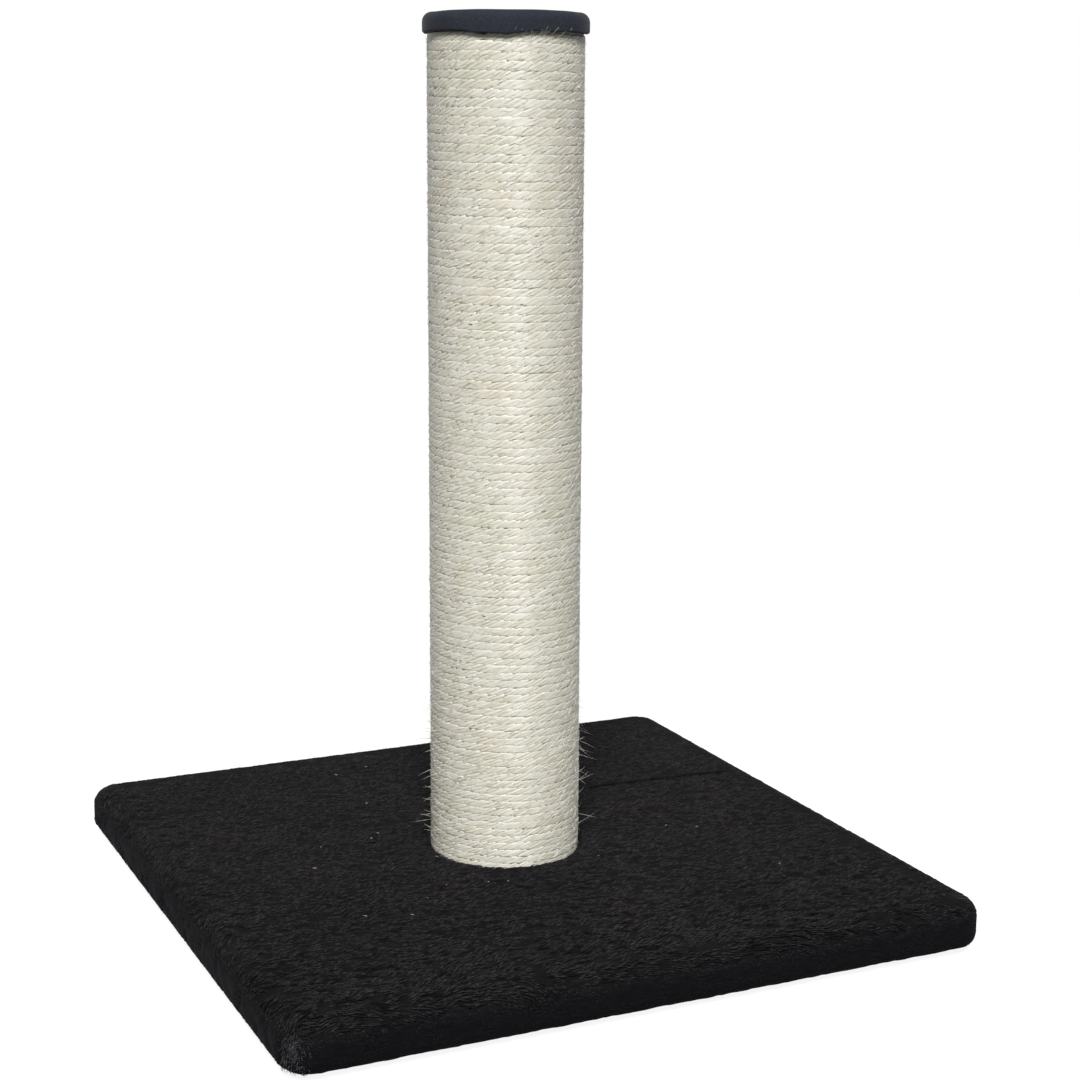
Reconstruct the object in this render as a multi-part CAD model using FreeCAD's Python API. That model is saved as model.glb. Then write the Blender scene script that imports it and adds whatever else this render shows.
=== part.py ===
import FreeCAD, Part
import math
import os

# A cat scratching post: a square plush-covered board on four pads, and a cardboard tube
# wound in sisal rope under a cloth-covered cap. One bolt from below clamps the post to the
# base. Z is up, and the origin lies on the floor under the middle of the base.
# Every length is in millimetres.

V = FreeCAD.Vector

# Whole object
base_side = 400.0              # plush base, outside, along X and along Y
overall_height = 500.0         # floor to the top of the cap

# Base: feet, underside and board
pad_diameter = 22.0
pad_thickness = 2.0
pad_inset = 38.0               # side of the base to the middle of a pad, out of sight below
liner_thickness = 1.0
liner_margin = 14.0            # side of the base to the edge of the liner
liner_corner = 8.0
access_diameter = 30.0         # hole in the liner for the socket that turns the bolt
hem_thickness = 3.0            # plush pulled flat under the board
hem_width = 35.0               # side of the base to the cut edge of the plush
hem_corner = 12.0
board_thickness = 18.0
board_edge = 4.0               # rounding along the top edge of the board

# Base: soft layers
padding_thickness = 4.0
cover_thickness = 4.0
cover_corner = 18.0            # plan radius of the corners of the plush
cover_top_edge = 12.0
cover_bottom_edge = 9.0
padding_bottom_edge = 3.0
crushed_padding = 1.0          # what is left of the padding under the post
crushed_cover = 2.0            # what is left of the plush under the post
recess_gap = 0.5               # rope to the wall of its recess in the plush

# Post
tube_diameter = 78.5
tube_wall = 4.0
plug_thickness = 15.0
plug_gap = 0.1                 # glue line between plug and tube
rope_diameter = 3.55
glue_gap = 0.1                 # rope to tube
turn_gap_low = 0.45            # rope to rope at the bottom turn
turn_gap_high = 1.30           # rope to rope at the top turn
rope_end_gap = 0.3             # first turn to its seat, and last turn to the cap
rope_end_angle = -129.0        # degrees round from +X, where both rope ends lie

# Cap
cap_overhang = 2.6             # side of the cap beyond the rope
cap_height = 12.0
cap_cloth = 2.0
cap_felt = 2.0
cap_shoulder = 6.5             # rounding of the top edge
cap_rim = 2.0                  # rounding of the lower edge
cap_tuck = 21.0                # side of the cap to the cut edge of the cloth below it

# Clamp bolt, washer and tee nut
bolt_diameter = 8.0
bolt_length = 40.0
bolt_head_flats = 13.0
bolt_head_height = 5.3
bolt_point = 1.2               # chamfer at the tip
bolt_hole_gap = 0.5            # bolt to the wall of the holes that it passes
thread_gap = 0.1               # bolt to the bore of the tee nut
washer_diameter = 22.0
washer_thickness = 1.6
washer_gap = 0.2               # bolt to the bore of the washer
counterbore_depth = 8.0
counterbore_gap = 2.0          # washer to the wall of the counterbore
nut_flange = 22.0
nut_flange_thickness = 1.5
nut_barrel = 10.0
nut_barrel_length = 9.0
prong_length = 6.0
prong_width = 3.0
prong_thickness = 1.2
prong_count = 4

# Cap screws
screw_diameter = 4.0
screw_length = 20.0
screw_head = 7.5
screw_head_height = 2.2
screw_circle = 30.0            # diameter of the circle that the screws lie on
screw_count = 3
screw_point = 3.0

# Staples
staple_crown = 12.0
staple_leg = 9.0
staple_wire = 0.7
hem_staple_inset = 24.0        # side of the base to the row of staples
hem_staples_per_side = 6
liner_staple_inset = 19.0
liner_staples_per_side = 5
staple_corner_room = 60.0      # side of the base to the first staple of a row
plug_staple_count = 6
cap_staple_count = 10
cap_staple_leg = 6.0           # shorter, because the cap disc is thin
cap_staple_inset = 15.0        # side of the cap to the ring of staples
rope_staple_spacing = 14.0     # first staple to the rope's end, and from staple to staple
rope_staples_per_end = 2

# Heights, from the floor up
liner_bottom = pad_thickness
hem_bottom = liner_bottom + liner_thickness
board_bottom = hem_bottom + hem_thickness
board_top = board_bottom + board_thickness
padding_top = board_top + padding_thickness
base_top = padding_top + cover_thickness
crushed_top = board_top + crushed_padding
post_seat = crushed_top + crushed_cover
plug_top = post_seat + plug_thickness
cap_bottom = overall_height - cap_height
bearing = board_bottom + counterbore_depth - washer_thickness

# Radii of the post, from the middle out
tube_radius = tube_diameter / 2
tube_bore = tube_radius - tube_wall
plug_radius = tube_bore - plug_gap
rope_radius = rope_diameter / 2
wind_radius = tube_radius + glue_gap + rope_radius
recess_radius = wind_radius + rope_radius + recess_gap
cap_radius = wind_radius + rope_radius + cap_overhang
bolt_hole = bolt_diameter / 2 + bolt_hole_gap

os.makedirs("parts", exist_ok=True)


def disc(radius, bottom, top):
    return Part.makeCylinder(radius, top - bottom, V(0, 0, bottom))


def ring(outer, inner, bottom, top):
    return disc(outer, bottom, top).cut(disc(inner, bottom, top))


def level_edges(shape, height):
    """The edges of a shape that lie flat at one height."""
    return [e for e in shape.Edges
            if abs(e.BoundBox.ZMin - height) < 1e-6 and abs(e.BoundBox.ZMax - height) < 1e-6]


def rounded(shape, height, radius):
    return shape.makeFillet(radius, level_edges(shape, height))


def square_slab(side, corner, bottom, top):
    """A square plate, centred on the axis, with round corners in plan."""
    half = side / 2
    straight = half - corner
    bulge = straight + corner * math.sqrt(0.5)
    edges = []
    for quarter in range(4):
        turn = FreeCAD.Rotation(V(0, 0, 1), 90 * quarter)
        start, end, bend, next_start = (turn.multVec(V(x, y, bottom)) for x, y in (
            (half, -straight), (half, straight), (bulge, bulge), (straight, half)))
        edges.append(Part.LineSegment(start, end).toShape())
        edges.append(Part.Arc(end, bend, next_start).toShape())
    return Part.Face(Part.Wire(edges)).extrude(V(0, 0, top - bottom))


def staple(leg):
    """One staple with its crown on the XY plane and its legs along +Z."""
    half = staple_crown / 2
    inner = half - staple_wire
    outline = [(-half, 0), (half, 0), (half, leg), (inner, leg),
               (inner, staple_wire), (-inner, staple_wire), (-inner, leg),
               (-half, leg), (-half, 0)]
    wire = Part.makePolygon([V(x, -staple_wire / 2, z) for x, z in outline])
    return Part.Face(wire).extrude(V(0, staple_wire, 0))


def placed_staple(place, crown, legs, leg=staple_leg):
    """A staple at a point, with its crown and its legs along two given directions."""
    one = staple(leg)
    one.Placement = FreeCAD.Placement(place, FreeCAD.Rotation(crown, V(), legs, "ZXY"))
    return one


def side_staples(count, inset, crown_height):
    """A row of staples along each side of the base, driven up from below."""
    from_middle = base_side / 2 - inset
    reach = base_side / 2 - staple_corner_room
    staples = []
    for quarter in range(4):
        turn = FreeCAD.Rotation(V(0, 0, 1), 90 * quarter)
        for i in range(count):
            along = reach * (2 * (i + 0.5) / count - 1)
            place = turn.multVec(V(along, -from_middle, crown_height))
            staples.append(placed_staple(place, turn.multVec(V(1, 0, 0)), V(0, 0, 1)))
    return Part.makeCompound(staples)


def ring_staples(count, radius, height, first_angle=0.0):
    """Staples round the post, flush with a radius and driven in level."""
    staples = []
    for i in range(count):
        angle = math.radians(first_angle + 360 * i / count)
        out = V(math.cos(angle), math.sin(angle), 0)
        along = V(-math.sin(angle), math.cos(angle), 0)
        staples.append(placed_staple(out * radius + V(0, 0, height), along, out * -1))
    return Part.makeCompound(staples)


# Staples come first, because they are cut out of what they are driven into.

def hem_staple_group():
    return side_staples(hem_staples_per_side, hem_staple_inset, hem_bottom)


def liner_staple_group():
    return side_staples(liner_staples_per_side, liner_staple_inset, liner_bottom - staple_wire)


def bottom_plug_staple_group():
    # Flush with the outside of the tube, so that the rope lies over them.
    sink = seat_of_staple()
    return ring_staples(plug_staple_count, sink, post_seat + plug_thickness / 2)


def top_plug_staple_group():
    sink = seat_of_staple()
    return ring_staples(plug_staple_count, sink, cap_bottom - plug_thickness / 2, 30.0)


def seat_of_staple():
    """The radius at which a straight crown lies wholly inside the round tube."""
    return math.sqrt(tube_radius ** 2 - (staple_crown / 2) ** 2)


def cap_staple_group():
    """A ring of staples that hold the tucked cloth to the underside of the cap disc."""
    radius = cap_radius - cap_staple_inset
    staples = []
    for i in range(cap_staple_count):
        angle = 2 * math.pi * i / cap_staple_count
        place = V(radius * math.cos(angle), radius * math.sin(angle), cap_bottom)
        along = V(-math.sin(angle), math.cos(angle), 0)
        staples.append(placed_staple(place, along, V(0, 0, 1), cap_staple_leg))
    return Part.makeCompound(staples)


# Base

def padding_body():
    """The outer shape of the padding, which is the inside of the plush."""
    side = base_side - 2 * cover_thickness
    body = square_slab(side, cover_corner - cover_thickness, board_bottom, padding_top)
    body = rounded(body, padding_top, cover_top_edge - cover_thickness)
    return rounded(body, board_bottom, padding_bottom_edge)


def board_body():
    inset = cover_thickness + padding_thickness
    body = square_slab(base_side - 2 * inset, cover_corner - inset, board_bottom, board_top)
    return rounded(body, board_top, board_edge)


def base_board(hem_staples, liner_staples):
    washer_room = disc(washer_diameter / 2 + counterbore_gap, board_bottom,
                       board_bottom + counterbore_depth)
    hole = disc(bolt_hole, board_bottom, board_top)
    return board_body().cut([washer_room, hole, hem_staples, liner_staples])


def base_padding():
    recess = disc(recess_radius + crushed_cover, crushed_top, padding_top)
    hole = disc(bolt_hole, board_top, crushed_top)
    return padding_body().cut([board_body(), recess, hole])


def base_cover(hem_staples, liner_staples):
    """The plush: over the top, down the sides, under the board, and pressed in by the post."""
    outside = square_slab(base_side, cover_corner, hem_bottom, base_top)
    outside = rounded(outside, base_top, cover_top_edge)
    outside = rounded(outside, hem_bottom, cover_bottom_edge)
    window = square_slab(base_side - 2 * hem_width, hem_corner, hem_bottom, board_bottom)
    shell = outside.cut([padding_body(), window])
    cup = disc(recess_radius + crushed_cover, crushed_top, padding_top)
    recess = disc(recess_radius, post_seat, base_top)
    hole = disc(bolt_hole, crushed_top, post_seat)
    return shell.fuse(cup).cut([recess, hole, hem_staples, liner_staples])


def base_liner(liner_staples):
    sheet = square_slab(base_side - 2 * liner_margin, liner_corner, liner_bottom, hem_bottom)
    return sheet.cut([disc(access_diameter / 2, liner_bottom, hem_bottom), liner_staples])


def foot_pad(x_side, y_side):
    reach = base_side / 2 - pad_inset
    return Part.makeCylinder(pad_diameter / 2, pad_thickness, V(x_side * reach, y_side * reach, 0))


# Clamp

def hexagon(flats, bottom, top):
    corners = [V(flats / math.sqrt(3) * math.cos(math.radians(60 * i)),
                 flats / math.sqrt(3) * math.sin(math.radians(60 * i)), bottom) for i in range(7)]
    return Part.Face(Part.makePolygon(corners)).extrude(V(0, 0, top - bottom))


def clamp_bolt():
    shank = disc(bolt_diameter / 2, bearing, bearing + bolt_length)
    tip = level_edges(shank, bearing + bolt_length)
    shank = shank.makeChamfer(bolt_point, tip)
    return shank.fuse(hexagon(bolt_head_flats, bearing - bolt_head_height, bearing))


def bolt_washer():
    bore = bolt_diameter / 2 + washer_gap
    return ring(washer_diameter / 2, bore, bearing, bearing + washer_thickness)


def tee_nut():
    """Flange on top of the bottom plug, barrel and prongs down into it."""
    nut = disc(nut_flange / 2, plug_top, plug_top + nut_flange_thickness)
    nut = nut.fuse(disc(nut_barrel / 2, plug_top - nut_barrel_length, plug_top))
    prong_radius = nut_flange / 2 - prong_thickness
    for i in range(prong_count):
        prong = Part.makeBox(prong_thickness, prong_width, prong_length,
                             V(prong_radius - prong_thickness, -prong_width / 2,
                               plug_top - prong_length))
        prong.rotate(V(), V(0, 0, 1), 45 + 360 * i / prong_count)
        nut = nut.fuse(prong)
    bore = disc(bolt_diameter / 2 + thread_gap, post_seat, plug_top + nut_flange_thickness)
    return nut.cut(bore)


# Post

def post_tube(*staples):
    return ring(tube_radius, tube_bore, post_seat, cap_bottom).cut(list(staples))


def bottom_plug(nut, staples):
    plug = ring(plug_radius, bolt_hole, post_seat, plug_top)
    return plug.cut([nut, staples])


def top_plug(screws, staples):
    return disc(plug_radius, cap_bottom - plug_thickness, cap_bottom).cut([screws, staples])


class Winding:
    """The middle line of the rope: one helix that falls as it turns with the angle from +X.
    The turns lie closer at the bottom than at the top."""

    def __init__(self):
        low = rope_diameter + turn_gap_low
        high = rope_diameter + turn_gap_high
        self.bottom = post_seat + rope_end_gap + rope_radius
        rise = cap_bottom - rope_end_gap - rope_radius - self.bottom
        self.turns = int(rise / ((low + high) / 2))
        spread = rise / (self.turns * (low + high) / 2)
        self.low = low * spread
        self.high = high * spread

    def angle(self, turn):
        return math.radians(rope_end_angle) - 2 * math.pi * turn

    def point(self, turn):
        a = self.angle(turn)
        height = self.low * turn + (self.high - self.low) * turn ** 2 / (2 * self.turns)
        return V(wind_radius * math.cos(a), wind_radius * math.sin(a), self.bottom + height)

    def direction(self, turn):
        a = self.angle(turn)
        pitch = self.low + (self.high - self.low) * turn / self.turns
        along = V(math.sin(a), -math.cos(a), pitch / (2 * math.pi * wind_radius))
        return along.normalize()


def biarc(start, leave, end, arrive):
    """Two arcs that join two points and keep both directions."""
    chord = end - start
    both = leave + arrive
    a = both.dot(both) - 4
    b = -2 * chord.dot(both)
    reach = (-b - math.sqrt(b * b - 4 * a * chord.dot(chord))) / (2 * a)
    first_corner = start + leave * reach
    last_corner = end - arrive * reach
    join = (first_corner + last_corner) * 0.5
    return [Part.Arc(start, arc_middle(start, first_corner, join), join).toShape(),
            Part.Arc(join, arc_middle(join, last_corner, end), end).toShape()]


def arc_middle(start, corner, end):
    """The middle of the arc that is tangent to start-corner and corner-end."""
    middle = (start + end) * 0.5
    height = corner - middle
    half = (end - start).Length / 2
    sagitta = half * math.tan(math.atan2(height.Length, half) / 2)
    return middle + height.normalize() * sagitta


def rope_path(winding):
    """Half-turn steps of two arcs each, with one rope diameter of straight at both ends."""
    start, end = winding.point(0), winding.point(winding.turns)
    leave, arrive = winding.direction(0), winding.direction(winding.turns)
    edges = [Part.LineSegment(start - leave * rope_diameter, start).toShape()]
    for step in range(2 * winding.turns):
        here, there = step / 2, (step + 1) / 2
        edges += biarc(winding.point(here), winding.direction(here),
                       winding.point(there), winding.direction(there))
    edges.append(Part.LineSegment(end, end + arrive * rope_diameter).toShape())
    return edges


def least_gap(edges, per_edge=12):
    """Rope to rope, measured between points of the middle line about one turn apart."""
    points = []
    for edge in edges[1:-1]:
        first, last = edge.ParameterRange
        points += [edge.valueAt(first + (last - first) * i / per_edge) for i in range(per_edge)]
    per_turn = 4 * per_edge
    nearest = min((points[i] - points[i + per_turn + shift]).Length
                  for i in range(len(points) - per_turn - 3) for shift in (-2, -1, 0, 1, 2))
    return nearest - rope_diameter


def sisal_rope():
    winding = Winding()
    edges = rope_path(winding)
    path = Part.Wire(edges)
    round_section = Part.Wire(Part.makeCircle(rope_radius, edges[0].Vertexes[0].Point,
                                              winding.direction(0)))
    pipe = Part.BRepOffsetAPI.MakePipeShell(path)
    pipe.add(round_section)
    pipe.build()
    pipe.makeSolid()
    rope = pipe.shape()
    expected = math.pi * rope_radius ** 2 * path.Length
    print("sisal rope: %d turns, %.2f m, pitch %.2f to %.2f mm, least gap %.2f mm, volume %.5f of "
          "section times length" % (winding.turns, path.Length / 1000, winding.low, winding.high,
                                    least_gap(edges), rope.Volume / expected))
    return rope


def rope_end_staple_group():
    """Staples along the rope near both ends, through the rope and into the tube."""
    winding = Winding()
    step = rope_staple_spacing / (2 * math.pi * wind_radius)
    turns = [step * (i + 1) for i in range(rope_staples_per_end)]
    turns += [winding.turns - t for t in turns]
    staples = []
    for turn in turns:
        point = winding.point(turn)
        inward = V(-point.x, -point.y, 0).normalize()
        staples.append(placed_staple(point, winding.direction(turn), inward))
    return Part.makeCompound(staples)


# Cap

def felt_body():
    """The outer shape of the felt, which is the inside of the cloth."""
    body = disc(cap_radius - cap_cloth, cap_bottom + cap_cloth, overall_height - cap_cloth)
    return rounded(body, overall_height - cap_cloth, cap_shoulder - cap_cloth)


def disc_body():
    top = overall_height - cap_cloth - cap_felt
    body = disc(cap_radius - cap_cloth - cap_felt, cap_bottom + cap_cloth, top)
    return rounded(body, top, cap_shoulder - cap_cloth - cap_felt)


def cap_disc(screws, staples):
    return disc_body().cut([screws, staples])


def cap_padding():
    return felt_body().cut(disc_body())


def cap_cover(staples):
    """The cloth: over the top, down the side and tucked in under the disc."""
    outside = disc(cap_radius, cap_bottom, overall_height)
    outside = rounded(outside, overall_height, cap_shoulder)
    outside = rounded(outside, cap_bottom, cap_rim)
    window = disc(cap_radius - cap_tuck, cap_bottom, cap_bottom + cap_cloth)
    return outside.cut([felt_body(), window, staples])


def cap_screw_group():
    """Countersunk screws from inside the post, up through the plug into the cap disc."""
    bottom = cap_bottom - plug_thickness
    screws = []
    for i in range(screw_count):
        angle = 2 * math.pi * i / screw_count
        place = V(screw_circle / 2 * math.cos(angle), screw_circle / 2 * math.sin(angle), bottom)
        head = Part.makeCone(screw_head / 2, screw_diameter / 2, screw_head_height, place)
        shank = Part.makeCylinder(screw_diameter / 2, screw_length - screw_point, place)
        point = Part.makeCone(screw_diameter / 2, 0, screw_point,
                              place + V(0, 0, screw_length - screw_point))
        screws.append(head.fuse([shank, point]).removeSplitter())
    return Part.makeCompound(screws)


def build():
    hem_staples, liner_staples = hem_staple_group(), liner_staple_group()
    low_staples, high_staples = bottom_plug_staple_group(), top_plug_staple_group()
    cap_staples, rope_staples = cap_staple_group(), rope_end_staple_group()
    screws, nut = cap_screw_group(), tee_nut()
    nodes = {
        "base_board": base_board(hem_staples, liner_staples),
        "base_padding": base_padding(),
        "base_cover": base_cover(hem_staples, liner_staples),
        "hem_staples": hem_staples,
        "base_liner": base_liner(liner_staples),
        "liner_staples": liner_staples,
        "clamp_bolt": clamp_bolt(),
        "bolt_washer": bolt_washer(),
        "tee_nut": nut,
        "post_tube": post_tube(low_staples, high_staples, rope_staples),
        "bottom_plug": bottom_plug(nut, low_staples.fuse(rope_staples)),
        "bottom_plug_staples": low_staples,
        "top_plug": top_plug(screws, high_staples.fuse(rope_staples)),
        "top_plug_staples": high_staples,
        "sisal_rope": sisal_rope(),
        "rope_end_staples": rope_staples,
        "cap_disc": cap_disc(screws, cap_staples),
        "cap_padding": cap_padding(),
        "cap_cover": cap_cover(cap_staples),
        "cap_staples": cap_staples,
        "cap_screws": screws,
    }
    for x_name, x_side in (("left", -1), ("right", 1)):
        for y_name, y_side in (("front", -1), ("back", 1)):
            nodes["foot_pad_%s_%s" % (y_name, x_name)] = foot_pad(x_side, y_side)
    return nodes


for name, shape in build().items():
    shape.exportStep("parts/%s.step" % name)
    print("%-22s %3d solids, %10.1f mm3, valid %s"
          % (name, len(shape.Solids), shape.Volume, shape.isValid()))
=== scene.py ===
# %% [markdown]
# # A cat scratching post
# The real thing is a padded board covered in black plush, and a cardboard tube wound in sisal
# rope under a cloth cap. The construction comes in as a fixed frame at its real size, in metres,
# with Z up. This lesson gives each soft or fibrous part its own mesh, and every surface a
# material made from nodes alone.

# %% Load the frame
import math

import bpy
import numpy as np
from mathutils import Matrix, Vector


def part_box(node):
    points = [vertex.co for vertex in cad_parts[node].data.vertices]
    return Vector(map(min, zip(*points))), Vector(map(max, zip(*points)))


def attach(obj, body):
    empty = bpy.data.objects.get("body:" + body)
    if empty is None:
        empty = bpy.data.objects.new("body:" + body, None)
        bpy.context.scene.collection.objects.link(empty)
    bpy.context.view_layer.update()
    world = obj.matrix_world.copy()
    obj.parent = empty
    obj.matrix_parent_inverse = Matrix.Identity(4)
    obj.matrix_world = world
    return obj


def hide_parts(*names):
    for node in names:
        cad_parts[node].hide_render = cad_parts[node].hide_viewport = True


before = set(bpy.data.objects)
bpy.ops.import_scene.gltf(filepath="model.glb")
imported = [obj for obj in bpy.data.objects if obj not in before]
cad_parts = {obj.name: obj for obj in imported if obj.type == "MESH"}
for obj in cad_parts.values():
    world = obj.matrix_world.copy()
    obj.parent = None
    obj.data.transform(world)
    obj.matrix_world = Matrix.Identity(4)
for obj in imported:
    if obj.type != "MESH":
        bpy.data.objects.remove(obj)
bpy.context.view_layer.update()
mm = 0.001

# %% [markdown]
# ## Camera
# The photograph looks at a corner of the base from a little above, with the post upright and the
# lens level with its upper part. The camera circles a point on the axis of the post. A small
# sideways aim and a small roll put the picture where the photograph has it.

# %% Camera
camera_azimuth = math.radians(-23.94)
camera_elevation = math.radians(11.75)
camera_distance = 1.1916
aim_height = 0.2090
aim_sideways = 0.0199
camera_roll = 0.0055
focal_pixels = 2096.0
picture_pixels = 1080.0
sensor = 36.0


def direction(azimuth, elevation):
    """The way from the object to a camera or a light. At azimuth 0 it stands in front."""
    return Vector((math.sin(azimuth) * math.cos(elevation),
                   -math.cos(azimuth) * math.cos(elevation), math.sin(elevation)))


back = direction(camera_azimuth, camera_elevation)
sideways = Vector((math.cos(camera_azimuth), math.sin(camera_azimuth), 0))
axis_point = Vector((0, 0, aim_height))
camera_place = axis_point + back * camera_distance
aim = axis_point + sideways * aim_sideways - camera_place

camera = bpy.data.objects.new("camera", bpy.data.cameras.new("camera"))
bpy.context.scene.collection.objects.link(camera)
camera.data.sensor_width = sensor
camera.data.lens = focal_pixels / picture_pixels * sensor
camera.location = camera_place
camera.rotation_mode = "QUATERNION"
camera.rotation_quaternion = (aim.to_track_quat("-Z", "Y")
                              @ Matrix.Rotation(camera_roll, 4, "Z").to_quaternion())
bpy.context.scene.camera = camera
bpy.context.scene.view_settings.view_transform = "Standard"
print("camera: %.1f mm lens" % camera.data.lens)

# %% [markdown]
# ## Colour and nodes
# Colours are written as sRGB hex, the way a paint chart gives them, and turned to the linear
# values that shaders need. Every node goes through one small helper, and the steps that most
# materials share, such as noise in lumps of a real size, are functions on top of it.

# %% Colours and nodes


def colour(hex_text):
    """sRGB hex to linear red, green, blue and alpha."""
    parts = [int(hex_text[i:i + 2], 16) / 255 for i in (1, 3, 5)]
    linear = [c / 12.92 if c <= 0.04045 else ((c + 0.055) / 1.055) ** 2.4 for c in parts]
    return (*linear, 1.0)


def fit(node, settings):
    """Gives a node's properties and inputs their values. A socket as a value is linked."""
    for name, value in settings.items():
        if isinstance(value, bpy.types.NodeSocket):
            node.id_data.links.new(value, node.inputs[name])
        elif isinstance(name, int) or name in node.inputs:
            node.inputs[name].default_value = value
        else:
            setattr(node, name, value)


def add(tree, kind, settings, output=0):
    """One of the output sockets of a new node."""
    node = tree.nodes.new("ShaderNode" + kind)
    fit(node, settings)
    return node.outputs[output]


# %% Steps that materials share


def ramp(tree, source, stops):
    """A value turned to colours, or greys, between stops."""
    tones = add(tree, "ValToRGB", {"Fac": source})
    elements = tones.node.color_ramp.elements
    while len(elements) < len(stops):
        elements.new(0.5)
    for element, (place, hex_text) in zip(elements, stops):
        element.position = place
        element.color = colour(hex_text)
    return tones


def lumps(tree, place, size, detail, roughness=0.5, turn=0.0):
    """Noise in lumps of one size, or of a size for each axis, at the places a socket gives."""
    if isinstance(size, tuple):
        scale = tuple(1 / length for length in size)
        place = add(tree, "Mapping", {"Vector": place, "Rotation": (0, 0, turn), "Scale": scale})
        size = 1.0
    return add(tree, "TexNoise", {"Vector": place, "Scale": 1 / size, "Detail": detail,
                                  "Roughness": roughness})


def mix(tree, share, first, second, blend="MULTIPLY"):
    """Two tones multiplied, or blended in another way."""
    return add(tree, "Mix", {"data_type": "RGBA", "blend_type": blend, 0: share, 6: first,
                             7: second}, 2)


def bump(tree, relief, strength, depth):
    """Relief too fine for the mesh."""
    return add(tree, "Bump", {"Height": relief, "Strength": strength, "Distance": depth})


def new_material(name):
    """A material, its node tree, its shader and the socket for places in the object."""
    material = bpy.data.materials.new(name)
    material.use_nodes = True
    tree = material.node_tree
    return material, tree, tree.nodes["Principled BSDF"], add(tree, "TexCoord", {}, "Object")


# %% [markdown]
# ## Smooth noise for shapes
# Hand-made things are never quite even. This noise moves points of a mesh, and gives the same
# result on every run.

# %% Noise


def noise(points, size, seed=0):
    """Noise from -1 to 1 at points on a line, in a plane or in space, in lumps about size across.
    size may be given for each axis, which stretches the lumps."""
    scaled = np.asarray(points, float) / np.asarray(size, float)
    scaled = np.pad(scaled, ((0, 0), (0, 3 - scaled.shape[1])))
    cell = np.floor(scaled).astype(np.int64)
    share = scaled - cell
    share = share * share * (3 - 2 * share)
    total = np.zeros(len(scaled))
    for corner in np.ndindex(2, 2, 2):
        at = cell + np.array(corner)
        mixed = at[:, 0] * 73856093 ^ at[:, 1] * 19349663 ^ at[:, 2] * 83492791 ^ seed * 39916801
        mixed = (mixed ^ (mixed >> 13)) * 1274126177
        value = ((mixed >> 8) & 0xFFFF) / 32767.5 - 1
        total += value * np.where(np.array(corner) == 1, share, 1 - share).prod(axis=1)
    return total


# %% [markdown]
# ## Making and finishing pieces
# A mesh can come from a Blender tool or from arrays of points and faces. Either way, dress() is
# the last step for a piece: it gives its material and says which body of the frame it rides on.

# %% Helpers for selections and points


def only(*objects):
    """Nothing selected but these, in object mode, with the first one active."""
    if bpy.context.mode != "OBJECT":
        bpy.ops.object.mode_set(mode="OBJECT")
    bpy.ops.object.select_all(action="DESELECT")
    for o in objects:
        o.select_set(True)
    if objects:
        bpy.context.view_layer.objects.active = objects[0]


def select_nothing(mesh):
    """Clears the selection that a mesh takes into edit mode."""
    for group in (mesh.vertices, mesh.edges, mesh.polygons):
        group.foreach_set("select", np.zeros(len(group), bool))


def points_of(piece):
    """The points of a mesh as an array."""
    flat = np.empty(len(piece.data.vertices) * 3)
    piece.data.vertices.foreach_get("co", flat)
    return flat.reshape(-1, 3)


def set_points(piece, points):
    """Moves the points of a mesh to new places."""
    piece.data.vertices.foreach_set("co", np.ascontiguousarray(points, np.float32).ravel())
    piece.data.update()


# %% Helpers for finished pieces


def mesh_from(name, points, faces):
    """A mesh object from arrays of points and of triangles or quads."""
    mesh = bpy.data.meshes.new(name)
    count, sides = faces.shape
    mesh.vertices.add(len(points))
    mesh.vertices.foreach_set("co", np.ascontiguousarray(points, np.float32).ravel())
    mesh.loops.add(count * sides)
    mesh.loops.foreach_set("vertex_index", faces.astype(np.int32).ravel())
    mesh.polygons.add(count)
    mesh.polygons.foreach_set("loop_start", np.arange(0, count * sides, sides, dtype=np.int32))
    mesh.polygons.foreach_set("use_smooth", np.ones(count, bool))
    mesh.update(calc_edges=True)
    mesh.validate()
    piece = bpy.data.objects.new(name, mesh)
    bpy.context.scene.collection.objects.link(piece)
    return piece


def dress(piece, material, body, slot, *replaced):
    """Material, body, slot and the frame nodes that a finished piece stands for. The slot is not
    used.
    """
    piece.data.materials.clear()
    piece.data.materials.append(material)
    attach(piece, body)
    if replaced:
        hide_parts(*replaced)
    print(piece.name, len(piece.data.polygons), "faces")
    return piece


# %% [markdown]
# ## Thin fibres
# Pile, stray hairs and crumbs are all thin tapered fibres. One function grows them: each fibre is
# a three-sided tube that leaves its root along a direction, is lifted by the surface normal, and
# bends back as it goes.

# %% A function for fibres


def compass(angle):
    """Directions in the plane, one for each angle."""
    return np.column_stack([np.cos(angle), np.sin(angle)])


def unit(vectors):
    """Vectors at length 1."""
    return vectors / np.maximum(np.linalg.norm(vectors, axis=1, keepdims=True), 1e-12)


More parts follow.
